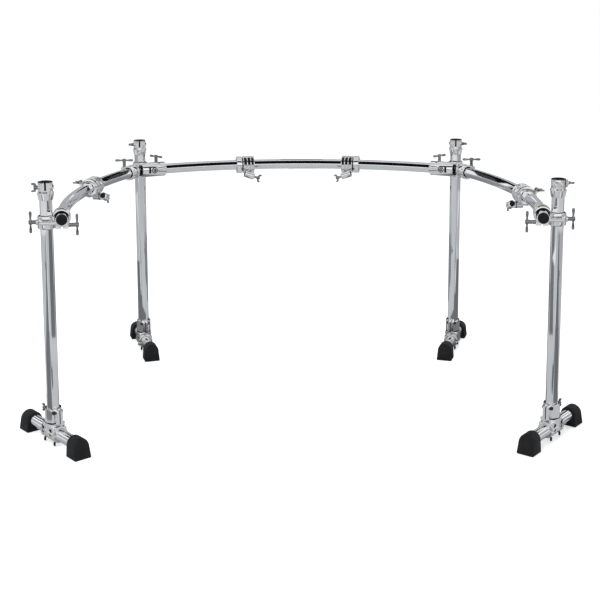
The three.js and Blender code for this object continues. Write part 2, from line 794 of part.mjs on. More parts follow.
function makeHalf(side, swing, clampInset, accessoryStation, holderTurn) {
  const corner = rearPlace(cornerAngle);
  corner.add(named(side + "_corner_clamp", cornerClamp, chromeCast));
  const sleeveAngle = cornerAngle - sleeveBoltAlong / rearBarRadius;
  const sleeve = rearPlace(sleeveAngle);
  const sleeveBolt = named(side + "_corner_clamp_bolt", lugBolt, chromeHandle);
  sleeve.add(boltAt(sleeveBolt, [0, lugBoltReach, -lugHalf], 0, rad(sleeveTeeTurn) - sleeveAngle));
  addLeg(corner, side + "_rear", rearPostTurn, rad(rearHolderTurn - rearFootTurn));

  const accessory = rearPlace(Math.asin(rearAccessoryHalfSpacing / rearBarRadius));
  addAccessory(accessory, side + "_rear_accessory", rearAccessory);

  const wing = makeWing(side, swing, clampInset, accessoryStation, holderTurn);
  const hinge = new THREE.Vector3(-hingeBeyondPost, 0, 0);
  wing.position.copy(hinge.applyEuler(corner.rotation).add(corner.position));
  const half = new THREE.Group();
  half.add(corner, sleeve, accessory, wing);
  return half;
}

const rack = frameAt(0, 0, barHeight);
const rearBar = named("rear_bar", makeBar(rearBarRadius, rearBarLength), chromePipe);
rearBar.position.set(rearBarRadius * Math.sin(rearBarAngle), rearBarRadius * Math.cos(rearBarAngle), 0);
rearBar.rotation.z = Math.PI - rearBarAngle;
const left = makeHalf("left", leftWingSwing, leftClampInset, leftAccessoryStation, leftFrontHolderTurn);
const right = makeHalf(
  "right",
  rightWingSwing,
  rightClampInset,
  rightAccessoryStation,
  rightFrontHolderTurn,
);
right.scale.x = -1;
rack.add(rearBar, left, right);

// The origin is on the floor under the middle of the rack's outline
const centred = new THREE.Group();
centred.add(rack);
const outlineBox = new THREE.Box3().setFromObject(centred, true);
const middle = outlineBox.getCenter(new THREE.Vector3());
centred.position.set(-middle.x, -middle.y, -outlineBox.min.z);
const part = new THREE.Group();
part.add(centred);

export default part;
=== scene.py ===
import math

import bmesh
import bpy
from mathutils import Matrix, Vector


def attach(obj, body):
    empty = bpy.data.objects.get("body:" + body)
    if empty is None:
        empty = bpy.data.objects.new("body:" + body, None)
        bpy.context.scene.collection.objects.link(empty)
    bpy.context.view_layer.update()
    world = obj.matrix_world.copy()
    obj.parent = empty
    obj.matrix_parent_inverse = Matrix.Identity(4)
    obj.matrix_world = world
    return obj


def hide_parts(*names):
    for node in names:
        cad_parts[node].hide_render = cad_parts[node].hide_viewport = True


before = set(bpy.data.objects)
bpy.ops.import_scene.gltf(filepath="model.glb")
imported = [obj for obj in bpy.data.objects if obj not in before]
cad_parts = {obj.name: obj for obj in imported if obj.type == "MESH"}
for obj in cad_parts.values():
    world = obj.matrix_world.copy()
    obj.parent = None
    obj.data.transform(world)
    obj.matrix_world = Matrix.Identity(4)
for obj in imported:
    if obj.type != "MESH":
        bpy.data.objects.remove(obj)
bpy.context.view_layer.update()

TAU = 2 * math.pi
MILLIMETRE = 0.001  # in metres, as the scene is

# The object's sizes are in millimetres and its turns in degrees. First the pipes, as in the solids
POST_ACROSS, POST_CORNER = 37, 8
POST_FOOT, POST_TOP = 62.7, 765.7
BAR_ACROSS, BAR_CORNER = 35, 9
PIPE_WALL = 2.2
PLUG_INSET = 2.8
BAR_HEIGHT = 693
FLOOR_DROP = -0.11
RACK_HEIGHT = 800
REAR_RADIUS, SIDE_RADIUS = 1180, 1450
REAR_LENGTH, SIDE_LENGTH = 1194, 898
REAR_STEPS, SIDE_STEPS = 144, 108
POST_REACH = (POST_ACROSS / 2 - POST_CORNER) / math.cos(math.pi / 6) + POST_CORNER
BAR_REACH = (BAR_ACROSS / 2 - BAR_CORNER) / math.cos(math.pi / 6) + BAR_CORNER

# Foot tubes and rubber feet
TUBE_RADIUS, TUBE_BORE = 18.7, 16.7
TUBE_HEIGHT, TUBE_LENGTH = 36, 304
FOOT_LENGTH, FOOT_WIDTH, TUBE_IN_FOOT = 55, 55, 34
FOOT_DOME, FOOT_SHOULDER = 25, 33
FOOT_LEAN = 11
FOOT_ROUND = 3
DOME_STEPS = 16

# Leg clamps
SOCKET_WALL = 5.9
SOCKET_FOOT, SOCKET_TOP = 30, 112.7
SADDLE_RADIUS, SADDLE_HALF, SADDLE_EASE = 25.5, 40, 3
SADDLE_START, SADDLE_SWEEP = -80, 340
SADDLE_CLEARANCE = 0.2
NOTCH_DEPTH, NOTCH_SLOPE, NOTCH_HEADING = 11, 0.37, -30
SEAT_BOX = ((-24, -23.5, 53), (25.5, 23.5, 66.5))
LIP_BOX = ((-25.2, -24.6, 64), (26.6, 24.6, 67.6))
LEG_LUG_BOXES = (((18, 1.3, 70), (41, 10.2, 109)), ((18, -10.2, 70), (41, -1.3, 109)))
LEG_SLIT_BOX = ((30, -1.2, 70), (40.8, 1.2, 108.8))
RIB_PLACES, RIB_WIDTH = (-34, -15, 11, 30), 4
POCKET_PLACES, POCKET_WIDTH = (-27, 17), 12
LEG_KEY_PLACE, LEG_KEY_HEIGHT = 27, 103
UNDER_SCREW_PLACES = ((-29, -15), (29, -15))
SPLIT_LOW, SPLIT_HIGH, SPLIT_PROUD = 67.6, 70.2, 0.4
HAND_SCREW_HEIGHT = 109.7 - 44 / 3

# Screws and bolts
WING_THICKNESS_HALF = 2.6
BOLT_RADIUS = 4
TEE_HEAD = 5.8
# Key screws as radius, foot and top
LEG_KEY = (5.6, 10.2, 16.5)
HINGE_KEY = (4.6, 8, 14.5)
CORNER_KEY = (5.6, 20, 29)

# Stand holders
HOLDER_HEIGHT, SKIRT_HEIGHT = 55, 26
SKIRT_REACH = POST_REACH + 4.6
CUP_RADIUS, CUP_BORE, CUP_FOOT = 22, 11.5, 29.5
CUP_GAP, INSERT_GAP = math.degrees(2.5 / 20), math.degrees(2.5 / 16)
INSERT_BORE, INSERT_EDGE = 10.9, 21.8
EAR_BOXES = (((13, 2.6, 30), (23.5, 14, 53)), ((13, -14, 30), (23.5, -2.6, 53)))
HOLDER_BOLT_OUT, HOLDER_BOLT_HEIGHT = 18, HOLDER_HEIGHT - 14
HOLDER_WING_START = 21

# Clamps on the bars
RING_RADIUS = BAR_REACH + 7.7
RING_EASE = 3
RING_CLEARANCE, BAND_CLEARANCE = 0.3, 0.4
BAND_RADIUS = POST_REACH + 6.4
POST_TO_BAR = 44
LUG_REACH, LUG_HALF, LUG_WIDTH_HALF = 25.1, 18.7, 11
LUG_START, LUG_END = 14, LUG_REACH + 9
SLIT_HALF = 2
BUSH_BORE, BUSH_WALL, BUSH_SHOWS = 0.15, 2.0, 0.7
SIDE_BUSH, FRONT_BUSH = (-18, 17), (-23, 22)
SLEEVE_LENGTH, SLEEVE_MIDDLE = 92, 33
SLEEVE_LUGS, SLEEVE_SLOT, SLEEVE_KEY = 55, 13, 31
BAND_HALF = 25
HINGE_OUT, KNUCKLE_RADIUS, KNUCKLE_HEIGHT = 27, 11, 13
HINGE_PIN_RADIUS, HINGE_PIN_HALF = 4.5, 27.5
HINGE_WEB_HALF = 7.5
HINGE_KEY_OUT, HINGE_KEY_HEIGHT = 17, 15.5
SLOT_BOX = ((-3.6, -27.4, -10), (3.6, -20, 11))
KNUCKLE_FEET = (-26, 13)
SIDE_RING_LENGTH = 36
SIDE_ARM_START, SIDE_ARM_END, SIDE_ARM_HALF = 18, 50.5, 12.7
FRONT_RING_LENGTH = 46
FRONT_NECK_BOX = ((-15, 14, -20), (15, 40, 2))
THROAT_START, THROAT_SWEEP = -70, 140
FRONT_BAND_LOW, FRONT_BAND_HIGH, FRONT_BOLT_HEIGHT = -32.5, 6.5, -13
TEE_THREAD, TEE_REACH = 2 * LUG_HALF + 0.3, LUG_HALF + 44
BAND_TEE_START = POST_TO_BAR + POST_ACROSS / 2 + 0.3
BAND_TEE_THREAD, BAND_TEE_REACH = 12.0, POST_TO_BAR + 46 - BAND_TEE_START

# Accessory clamps
JAW_RADIUS = BAR_REACH + 13.4
COLLAR_RADIUS = BAR_REACH + 12.4
NECK_RADIUS = BAR_REACH + 5.7
JAW_BORE = BAR_REACH + 0.6
COLLAR_SPAN, NECK_SPAN = (-33, -13), (-14, -8)
JAW_LUG_NEAR, JAW_LUG_FAR, JAW_LUG_HALF = (-9, 18), (31.5, JAW_RADIUS + 8.5), 11
WINDOW_DEPTH = 7
WINDOW_START, WINDOW_SWEEP = 174, 88
JAW_MIDDLE = 12
SWIVEL_DROP = JAW_RADIUS + 2.5
HEAD_OUT, HEAD_TURN = -24.3, -20
BARREL_HEIGHT, RECEIVER_WING_START = 16, 12.4
OUTER_WING_HEIGHT = 12

# Where each band of the jaw starts and ends along the bar, and whether it is a rib
JAW_BANDS = (
    (-9, -6.5, True),
    (-6.5, 4.5, False),
    (4.5, 7.5, True),
    (7.5, 18, False),
    (18, 21, True),
    (21, 30.5, False),
    (30.5, 33, True),
)

# Where the pieces stand: x, y and heading in degrees; the right half is mirrored
POSTS = {
    "left_front": (-750.18, -474.78, -49.334),
    "left_rear": (-601.96, 449.98, -72.3),
    "right_front": (755.9, -446.73, -127.797),
    "right_rear": (574.04, 449.98, -107.7),
}
CORNERS = {"left": (-580.82, 411.39, 28.711), "right": (552.91, 411.39, 151.289)}
SIDE_RINGS = {"left": (-623.65, 351.69, 67.711), "right": (597.36, 352.39, 114.289)}
FRONT_RINGS = {"left": (-706.94, -466.63, 100.666), "right": (712.3, -440.76, 82.203)}
PLUGS = {"left": (-697.71, -511.7, 102.484), "right": (701.5, -507.89, 79.516)}
SIDE_BARS = {"left": (-616.72, 368.3, -113.0), "right": (589.85, 368.75, -65.0)}
REAR_BAR = (559.91, 407.52, 150.901)
ACCESSORIES = {
    "left_rear": (-214.96, 539.22, 9.808),
    "right_rear": (187.04, 539.22, 170.192),
    "left_side": (-710.65, 49.59, 80.158),
    "right_side": (720.35, -119.52, 94.927),
}
CORNER_TEES = {"left": (-542.99, 459.21, 49.0), "right": (515.08, 459.21, 131.0)}
SIDE_TEES = {"left": (-646.86, 361.2, 91.511), "right": (620.22, 362.7, 90.489)}

# The holders' headings, and how far a holder's wing is turned about its bolt, in degrees
HOLDER_HEADINGS = {
    "left_front": -79.0,
    "left_rear": -82.0,
    "right_front": -44.0,
    "right_rear": -98.0,
}
HOLDER_WING_TURNS = {"left_front": 90}

# The turn that lays a form's Z along X and its X along Y
LAID_ALONG = Matrix(((0, 0, 1), (1, 0, 0), (0, 1, 0))).to_4x4()

# Sections that are turned round an axis, as (radius, height)
WING_HUB = ((6, 0), (6, 3), (5, 10), (3.6, 12), (0, 12))
TEE_ARM = (
    (0, 0),
    (4.4, 0),
    (4.0, 6),
    (2.9, 9),
    (2.9, 12),
    (3.6, 17),
    (4.3, 22),
    (4.5, 27),
    (4.1, 30),
    (2.9, 32.3),
    (0, 33),
)
PLUG_DISC = (
    (0, -4.4),
    (11, -4.4),
    (14.2, -3.9),
    (15.9, -2.8),
    (16.7, -1.4),
    (16.7, -0.4),
    (0, -0.4),
)
HOLDER_SKIRT = (
    (0, 0),
    (SKIRT_REACH - 4.5, 0),
    (SKIRT_REACH - 3.5, 1),
    (SKIRT_REACH, SKIRT_HEIGHT - 6),
    (SKIRT_REACH, SKIRT_HEIGHT - 3),
    (CUP_RADIUS + 0.4, SKIRT_HEIGHT),
    (CUP_RADIUS, SKIRT_HEIGHT + 0.5),
    (CUP_RADIUS, 30),
    (CUP_BORE, 30),
    (CUP_BORE, SKIRT_HEIGHT + 2),
    (0, SKIRT_HEIGHT + 2),
)
HOLDER_BOSS = ((0, 12), (7, 12), (7, 19), (6.2, 21), (0, 21))
HOLDER_NUT = ((0, 20), (7.6, 20), (7.6, 24), (7, 24.6), (0, 24.6))
HOLDER_RIM = (
    (INSERT_BORE, 28),
    (12, 28),
    (12, HOLDER_HEIGHT - 2.4),
    (INSERT_EDGE - 0.4, HOLDER_HEIGHT - 2.4),
    (INSERT_EDGE, HOLDER_HEIGHT - 1),
    (INSERT_EDGE - 1, HOLDER_HEIGHT),
    (12.4, HOLDER_HEIGHT),
    (INSERT_BORE, HOLDER_HEIGHT - 1.6),
)
SIDE_RING_END = (
    (0, 18),
    (RING_RADIUS, 18),
    (RING_RADIUS, 23),
    (RING_RADIUS - 3, 26),
    (0, 26),
)
KEY_COLLAR = ((4, 20), (8.2, 20), (8.2, 27.2), (7.4, 28), (4, 28))
# Painted shade in the hollow round the key's collar, as (radius, height)
KEY_SHADE_RING = ((8.2, 20), (11, 20), (11, 27), (8.2, 27))
RING_THROAT = (
    (BAR_REACH + 0.6, 18),
    (22.6, 18),
    (22.6, 23.4),
    (BAR_REACH + 0.6, 23.4),
)
BARREL = (
    (0, -19),
    (10.5, -19),
    (12, -18.3),
    (12.5, -17),
    (12.5, 14),
    (11.6, 15),
    (11.6, 17.6),
    (10.8, 19),
    (0, 19),
)
BARREL_SEAT = ((0, 0), (11, 0), (11, 4), (10, 5), (9, 16), (0, 16))
BARREL_CAP = ((0, -20.4), (8, -20.4), (9, -19.6), (9, -18), (0, -18))
KNOB = ((0, 0), (8.4, 0), (9, 1), (9, 7), (8, 8.6), (0, 8.6))
# Painted shade: dark sheets on the floors of the jaw's windows and round its neck, where shade falls
JAW_WINDOW_SHADE = (
    (BAR_REACH + 1, -7),
    (JAW_RADIUS - 6.2, -7),
    (JAW_RADIUS - 6.2, 31),
    (BAR_REACH + 1, 31),
)
NECK_SHADE = (
    (BAR_REACH + 1, -12.9),
    (BAR_REACH + 6.1, -12.9),
    (BAR_REACH + 6.1, -9.1),
    (BAR_REACH + 1, -9.1),
)


def stand(x, y, z, heading, mirrored=False):
    """A place in the rack, in metres, with the heading of its X axis."""
    flip = Matrix.Diagonal((1, -1 if mirrored else 1, 1, 1))
    return (
        Matrix.Scale(MILLIMETRE, 4)
        @ Matrix.Translation((x, y, z))
        @ Matrix.Rotation(math.radians(heading), 4, "Z")
        @ flip
    )


def place_of(table, name, height=BAR_HEIGHT + FLOOR_DROP):
    x, y, heading = table[name]
    return stand(x, y, height, heading, name.startswith("right"))


# Forms, in millimetres
def moved(form, x=0.0, y=0.0, z=0.0):
    bmesh.ops.translate(form, verts=form.verts, vec=(x, y, z))
    return form


def tipped(form, axis, degrees):
    turn = Matrix.Rotation(math.radians(degrees), 3, axis)
    bmesh.ops.rotate(form, verts=form.verts, cent=(0, 0, 0), matrix=turn)
    return form


def merged(*forms):
    whole = bmesh.new()
    for form in forms:
        mesh = bpy.data.meshes.new("part")
        form.to_mesh(mesh)
        form.free()
        whole.from_mesh(mesh)
        bpy.data.meshes.remove(mesh)
    return whole


def facing_out(form):
    bmesh.ops.recalc_face_normals(form, faces=form.faces)
    return form


def turned(profile, steps=48):
    """A profile of (radius, height) turned right round Z, its ends on the axis or closed on itself."""
    form = bmesh.new()
    points = [form.verts.new((radius, 0, height)) for radius, height in profile]
    closed = profile[0][0] > 0 and profile[-1][0] > 0
    following = points[1:] + points[:1] if closed else points[1:]
    edges = [form.edges.new(pair) for pair in zip(points, following)]
    bmesh.ops.spin(
        form,
        geom=points + edges,
        cent=(0, 0, 0),
        axis=(0, 0, 1),
        angle=TAU,
        steps=steps,
        use_merge=True,
    )
    bmesh.ops.remove_doubles(form, verts=form.verts, dist=1e-4)
    return facing_out(form)


def part_turned(profile, start, sweep, steps=40):
    """A closed profile of (radius, height) turned part of the way round Z, in degrees."""
    form = bmesh.new()
    face = form.faces.new([form.verts.new((radius, 0, height)) for radius, height in profile])
    bmesh.ops.spin(
        form,
        geom=[face] + list(face.edges) + list(face.verts),
        cent=(0, 0, 0),
        axis=(0, 0, 1),
        angle=math.radians(sweep),
        steps=steps,
    )
    return facing_out(tipped(form, "Z", start))


def split_turned(profile, slit_half, radius):
    """A closed profile turned round Z, but for a slit on +Y."""
    gap = math.degrees(slit_half / radius)
    return part_turned(profile, 90 + gap, 360 - 2 * gap)


def wall(inner, outer, low, high, ease=1.5):
    """The section of a round wall with its outer edges eased."""
    chamfer = ease * 0.3
    return [
        (inner, low),
        (outer - ease, low),
        (outer - chamfer, low + chamfer),
        (outer, low + ease),
        (outer, high - ease),
        (outer - chamfer, high - chamfer),
        (outer - ease, high),
        (inner, high),
    ]


def rod(radius, low, high, ease=0.6, steps=32):
    profile = [
        (0, low),
        (radius - ease, low),
        (radius, low + ease),
        (radius, high - ease),
        (radius - ease, high),
        (0, high),
    ]
    return turned(profile, steps)


def raised(form, faces, rise):
    """Draws faces out along Z."""
    drawn = bmesh.ops.extrude_face_region(form, geom=faces)["geom"]
    top = [corner for corner in drawn if isinstance(corner, bmesh.types.BMVert)]
    bmesh.ops.translate(form, verts=top, vec=(0, 0, rise))
    return facing_out(form)


def slab(outline, low, high):
    """An outline of (x, y) drawn out along Z."""
    form = bmesh.new()
    face = form.faces.new([form.verts.new((x, y, low)) for x, y in outline])
    return raised(form, [face], high - low)


def block(low, high):
    outline = [(low[0], low[1]), (high[0], low[1]), (high[0], high[1]), (low[0], high[1])]
    return slab(outline, low[2], high[2])


def hexagon(across, corner, turn=0.0, steps=5):
    """The outline of a hexagon with rounded corners, with flats on its +X and -X sides at no turn."""
    reach = (across / 2 - corner) / math.cos(math.pi / 6)
    points = []
    for side in range(6):
        middle = math.pi / 6 + side * math.pi / 3 + turn
        for step in range(steps + 1):
            angle = middle + (step / steps - 0.5) * math.pi / 3
            x = reach * math.cos(middle) + corner * math.cos(angle)
            y = reach * math.sin(middle) + corner * math.sin(angle)
            points.append((x, y))
    return points


def pipe_ring(form, across, corner, turn, to_point, steps=10):
    """The annular end of a pipe, its section placed by to_point."""
    loops = []
    for inset in (0, PIPE_WALL):
        outline = hexagon(across - 2 * inset, corner - inset, turn, steps)
        points = [form.verts.new(to_point(x, y)) for x, y in outline]
        loops += [form.edges.new(pair) for pair in zip(points, points[1:] + points[:1])]
    return bmesh.ops.bridge_loops(form, edges=loops)["faces"]


def straight_pipe(low, high):
    """A post's pipe on Z."""
    form = bmesh.new()
    faces = pipe_ring(form, POST_ACROSS, POST_CORNER, 0, lambda x, y: (x, y, low))
    return raised(form, faces, high - low)


def bent_pipe(radius, length, steps):
    """A bar from the origin along +X, bending towards +Y, with a flat of its hexagon on top."""
    form = bmesh.new()
    faces = pipe_ring(form, BAR_ACROSS, BAR_CORNER, math.pi / 6, lambda x, y: (0, x, y))
    bmesh.ops.spin(
        form,
        geom=list(form.verts) + list(form.edges) + list(faces),
        cent=(0, radius, 0),
        axis=(0, 0, 1),
        angle=length / radius,
        steps=steps,
    )
    return facing_out(form)


def on_arc(form, radius, along):
    """Carries a form along a bar that starts on +X and bends towards -Y."""
    angle = along / radius
    tipped(form, "Z", -math.degrees(angle))
    return moved(form, x=radius * math.sin(angle), y=radius * (math.cos(angle) - 1))


# Finishes, with the depth of their bumps in metres
NOISE_ROUGHNESS = 0.6
RIPPLE_DEPTH, GRAIN_DEPTH = 0.0004, 0.0003


def shader(name):
    material = bpy.data.materials.new(name)
    material.use_nodes = True
    nodes = material.node_tree.nodes
    return material, nodes, material.node_tree.links, nodes["Principled BSDF"]


def noise(nodes, links, scale, detail):
    """Noise in the object's own space, so that it stays on the piece."""
    coordinate = nodes.new("ShaderNodeTexCoord")
    texture = nodes.new("ShaderNodeTexNoise")
    texture.inputs["Scale"].default_value = scale
    texture.inputs["Detail"].default_value = detail
    texture.inputs["Roughness"].default_value = NOISE_ROUGHNESS
    links.new(coordinate.outputs["Object"], texture.inputs["Vector"])
    return texture.outputs["Fac"]


def ramp(nodes, links, source, stops):
    colours = nodes.new("ShaderNodeValToRGB")
    elements = colours.color_ramp.elements
    for element, (position, colour) in zip(elements, stops):
        element.position = position
        element.color = (*colour, 1)
    links.new(source, colours.inputs["Fac"])
    return colours.outputs["Color"]


def spread(nodes, links, source, low, high):
    span = nodes.new("ShaderNodeMapRange")
    span.inputs["To Min"].default_value = low
    span.inputs["To Max"].default_value = high
    links.new(source, span.inputs["Value"])
    return span.outputs["Result"]


def bumped(nodes, links, source, strength, distance, surface):
    bump = nodes.new("ShaderNodeBump")
    bump.inputs["Strength"].default_value = strength
    bump.inputs["Distance"].default_value = distance
    links.new(source, bump.inputs["Height"])
    links.new(bump.outputs["Normal"], surface.inputs["Normal"])


def chrome(name, dark, bright, polish, ripple, ripple_scale, metal=1.0):
    """Bright plating: a faint change of tone, a haze of polish and a slight ripple."""
    material, nodes, links, surface = shader(name)
    surface.inputs["Metallic"].default_value = metal
    tone = noise(nodes, links, scale=9.0, detail=3.0)
    colour = ramp(nodes, links, tone, [(0.3, dark), (0.7, bright)])
    links.new(colour, surface.inputs["Base Color"])
    haze = noise(nodes, links, scale=60.0, detail=6.0)
    links.new(spread(nodes, links, haze, *polish), surface.inputs["Roughness"])
    waves = noise(nodes, links, scale=ripple_scale, detail=2.0)
    bumped(nodes, links, waves, ripple, RIPPLE_DEPTH, surface)
    return material


def moulded(name, dark, bright, polish, grain, grain_scale, specular):
    """Black rubber and plastic, and also the dark paint of painted shade: a fine grain and slight wear
    of the tone.
    """
    material, nodes, links, surface = shader(name)
    surface.inputs["Specular IOR Level"].default_value = specular
    tone = noise(nodes, links, scale=30.0, detail=5.0)
    colour = ramp(nodes, links, tone, [(0.35, dark), (0.7, bright)])
    links.new(colour, surface.inputs["Base Color"])
    wear = noise(nodes, links, scale=90.0, detail=4.0)
    links.new(spread(nodes, links, wear, *polish), surface.inputs["Roughness"])
    skin = noise(nodes, links, scale=grain_scale, detail=3.0)
    bumped(nodes, links, skin, grain, GRAIN_DEPTH, surface)
    return material


PIPE = chrome(
    "pipe_chrome",
    dark=(0.80, 0.81, 0.83),
    bright=(0.88, 0.89, 0.91),
    polish=(0.03, 0.07),
    ripple=0.008,
    ripple_scale=14.0,
)
CAST = chrome(
    "casting_chrome",
    dark=(0.80, 0.80, 0.805),
    bright=(0.92, 0.92, 0.925),
    polish=(0.05, 0.13),
    ripple=0.16,
    ripple_scale=60.0,
    metal=0.93,
)
HANDLE = chrome(
    "handle_chrome",
    dark=(0.20, 0.20, 0.21),
    bright=(0.42, 0.42, 0.43),
    polish=(0.05, 0.12),
    ripple=0.06,
    ripple_scale=90.0,
)
SCREW = chrome(
    "screw_steel",
    dark=(0.03, 0.03, 0.033),
    bright=(0.08, 0.08, 0.085),
    polish=(0.25, 0.4),
    ripple=0.1,
    ripple_scale=200.0,
)
RUBBER = moulded(
    "foot_rubber",
    dark=(0.007, 0.0075, 0.009),
    bright=(0.016, 0.016, 0.017),
    polish=(0.45, 0.7),
    grain=0.3,
    grain_scale=500.0,
    specular=0.25,
)
# Black plastic of the plugs, bushes, insert and caps, also used as the paint of the painted shade in
# the accessory clamps
PLASTIC_AND_SHADE = moulded(
    "plug_plastic_and_painted_shade",
    dark=(0.006, 0.006, 0.008),
    bright=(0.012, 0.012, 0.014),
    polish=(0.35, 0.5),
    grain=0.2,
    grain_scale=600.0,
    specular=0.2,
)
# Painted shade: a dark paint for slits, pockets, throats and gaps, where shade falls
HOLLOW = moulded(
    "hollow_shadow",
    dark=(0.006, 0.006, 0.006),
    bright=(0.01, 0.01, 0.01),
    polish=(0.6, 0.8),
    grain=0.1,
    grain_scale=300.0,
    specular=0.2,
)


def linked(name, form, material):
    """Makes the object of a form that is already in its place."""
    mesh = bpy.data.meshes.new(name)
    form.to_mesh(mesh)
    form.free()
    made = bpy.data.objects.new(name, mesh)
    bpy.context.scene.collection.objects.link(made)
    mesh.materials.append(material)
    return made


def piece(name, form, place, material, body, node=None, bevel=0.0, sharp=32):
    """Places a form, eases its edges and sets it on its body."""
    facing_out(form)
    bmesh.ops.transform(form, matrix=place, verts=form.verts)
    if place.determinant() < 0:
        bmesh.ops.reverse_faces(form, faces=form.faces)
    for face in form.faces:
        face.smooth = True
    limit = math.radians(sharp)
    for edge in form.edges:
        if len(edge.link_faces) == 2:
            edge.smooth = edge.calc_face_angle(0.0) < limit
    made = linked(name, form, material)
    if bevel:
        ease = made.modifiers.new("ease", "BEVEL")
        ease.width = bevel * MILLIMETRE
        ease.segments = 2
        ease.limit_method = "ANGLE"
        ease.angle_limit = limit
        ease.harden_normals = True
    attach(made, body)
    if node:
        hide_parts(node)


# Screws and bolts
def wing_form(thread, shank, span=30.0, depth=15.0):
    """A wing bolt on +Z from its thread's tip."""
    seat = thread + shank
    tip = span / 2
    right = [
        (3.5, 1),
        (tip - 5, 3),
        (tip - 1, 5),
        (tip, 8),
        (tip, depth - 3),
        (tip - 1.5, depth),
        (tip - 4, depth),
        (tip - 6, depth - 4),
        (4.5, 7),
    ]
    outline = right + [(-x, y) for x, y in reversed(right)]
    wings = tipped(slab(outline, -WING_THICKNESS_HALF, WING_THICKNESS_HALF), "X", 90)
    hub = [(0, seat)] + [(radius, seat + rise) for radius, rise in WING_HUB]
    pin = rod(BOLT_RADIUS, 0, seat + 1, steps=20)
    return merged(pin, turned(hub, steps=24), moved(wings, z=seat + 1))


def tee_form(thread, reach):
    """A T bolt on +Z from its thread's tip, its cross bar along Y."""
    end = reach + TEE_HEAD
    shaft = [
        (0, thread),
        (6.4, thread),
        (6.6, thread + 1),
        (6.1, thread + 4),
        (6.1, end - 1),
        (5.4, end),
        (0, end),
    ]
    arms = [moved(tipped(turned(TEE_ARM, steps=24), "X", turn), z=reach) for turn in (90, -90)]
    pin = rod(BOLT_RADIUS, 0, thread + 0.5, ease=0.5, steps=20)
    return merged(pin, turned(shaft, steps=28), *arms)


def key_screw(radius, low, high):
    """A socket head screw on Z, its head's top at high."""
    socket = radius * 0.45
    profile = [
        (0, low),
        (radius, low),
        (radius, high - 1),
        (radius - 1, high),
        (socket, high),
        (socket, high - 3),
        (0, high - 3),
    ]
    return turned(profile, steps=28)


# Legs
def foot_form():
    """A rubber foot over the tube's end on +X, arched across the tube."""
    half = FOOT_WIDTH / 2
    fall = math.atan2(FOOT_SHOULDER, half)
    flank = fall - math.acos(FOOT_DOME / math.hypot(half, FOOT_SHOULDER))
    outline = [(-half, 0), (half, 0)]
    for step in range(DOME_STEPS + 1):
        angle = -flank + (math.pi + 2 * flank) * step / DOME_STEPS
        outline.append((FOOT_DOME * math.cos(angle), TUBE_HEIGHT + FOOT_DOME * math.sin(angle)))
    form = slab(outline, 0, FOOT_LENGTH)
    lean = math.tan(math.radians(FOOT_LEAN))
    for vertex in form.verts:
        if vertex.co.z > FOOT_LENGTH / 2:
            vertex.co.z -= vertex.co.y * lean
    bmesh.ops.bevel(
        form,
        geom=[edge for edge in form.edges if edge.calc_face_angle(0.0) > math.radians(30)],
        offset=FOOT_ROUND,
        segments=3,
        affect="EDGES",
        profile=0.5,
        material=-1,
    )
    bmesh.ops.transform(form, matrix=LAID_ALONG, verts=form.verts)
    return moved(form, x=TUBE_LENGTH / 2 - TUBE_IN_FOOT)


def foot_tube_form():
    half = TUBE_LENGTH / 2
    section = [(TUBE_BORE, -half), (TUBE_RADIUS, -half), (TUBE_RADIUS, half), (TUBE_BORE, half)]
    return moved(tipped(turned(section, steps=56), "Y", 90), z=TUBE_HEIGHT)


def leg_clamp_forms():
    """The casting at a post's foot: its socket, seat, saddle, lugs and ribs."""
    outline = hexagon(POST_ACROSS + 2 * SOCKET_WALL, POST_CORNER + SOCKET_WALL)
    socket = slab(outline, SOCKET_FOOT, SOCKET_TOP)
    for vertex in socket.verts:
        if vertex.co.z > SOCKET_TOP - 1:
            heading = math.degrees(math.atan2(vertex.co.y, vertex.co.x))
            vertex.co.z -= max(0, NOTCH_DEPTH - abs(heading - NOTCH_HEADING) * NOTCH_SLOPE)
    bore = TUBE_RADIUS + SADDLE_CLEARANCE
    section = wall(bore, SADDLE_RADIUS, -SADDLE_HALF, SADDLE_HALF, SADDLE_EASE)
    saddle = tipped(part_turned(section, SADDLE_START, SADDLE_SWEEP), "Y", 90)
    lugs = [block(*box) for box in LEG_LUG_BOXES]
    ribs = [block((x, -24.5, 22), (x + RIB_WIDTH, 24.5, 56)) for x in RIB_PLACES]
    saddle = moved(saddle, z=TUBE_HEIGHT)
    return merged(socket, block(*SEAT_BOX), block(*LIP_BOX), saddle, *lugs, *ribs)


def leg_screw_forms():
    """The key screws across the socket's slit and the two screws under the saddle."""
    across = [tipped(key_screw(*LEG_KEY), "X", turn) for turn in (90, -90)]
    across = [moved(form, x=LEG_KEY_PLACE, z=LEG_KEY_HEIGHT) for form in across]
    under = [moved(rod(3.4, 2.5, 14, ease=0.8, steps=20), x, y) for x, y in UNDER_SCREW_PLACES]
    return merged(*across, *under)


def leg_shadow_forms():
    """The dark split over the clamp's seat and the pockets between its ribs."""
    outward = SOCKET_WALL + SPLIT_PROUD
    split = slab(hexagon(POST_ACROSS + 2 * outward, POST_CORNER + outward), SPLIT_LOW, SPLIT_HIGH)
    pockets = [block((x, -24.2, 43), (x + POCKET_WIDTH, 24.2, 53)) for x in POCKET_PLACES]
    return merged(split, block(*LEG_SLIT_BOX), *pockets)


def at_holder_bolt(form, turn):
    """Turns a form from Z across the holder's slit, on the bolt's line."""
    return moved(tipped(form, "X", turn), x=HOLDER_BOLT_OUT, z=HOLDER_BOLT_HEIGHT)


